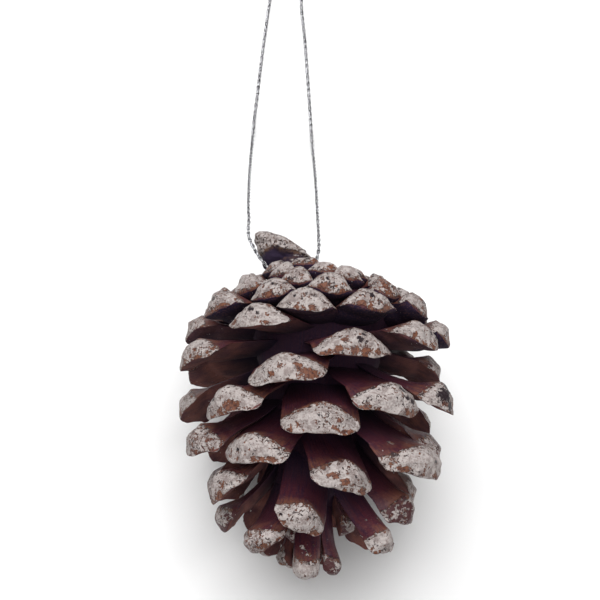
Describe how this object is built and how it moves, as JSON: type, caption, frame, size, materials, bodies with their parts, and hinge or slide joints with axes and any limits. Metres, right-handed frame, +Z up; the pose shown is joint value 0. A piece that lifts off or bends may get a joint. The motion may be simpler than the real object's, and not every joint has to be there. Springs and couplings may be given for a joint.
{
  "type": "pine cone",
  "caption": "Short open pine cone lying on its side, with frosted scale ends, a broken stub at its neck and a thin metallic hanging cord tied round it.",
  "frame": {"origin": "on the surface that the cone lies on, under the middle of the cone's box, without its cord", "axes": "+Z up, +Y along the cone towards its stem end and its cord, +X across it"},
  "size_m": [0.0679, 0.2062, 0.0658],
  "materials": {
    "scale_wood": "dark reddish brown, smooth and satin, unpainted",
    "frosted_paint": "matt off-white paint on the scale ends, worn through in specks and patches",
    "stub_bark": "rough layered bark with whitewash on top",
    "metallic_cord": "thin twisted silver-grey cord with a metallic sheen"
  },
  "bodies": {
    "root": {"cone": "scale_wood", "cord_wrap": "metallic_cord", "hanging_cord": "metallic_cord"}
  },
  "joints": []
}
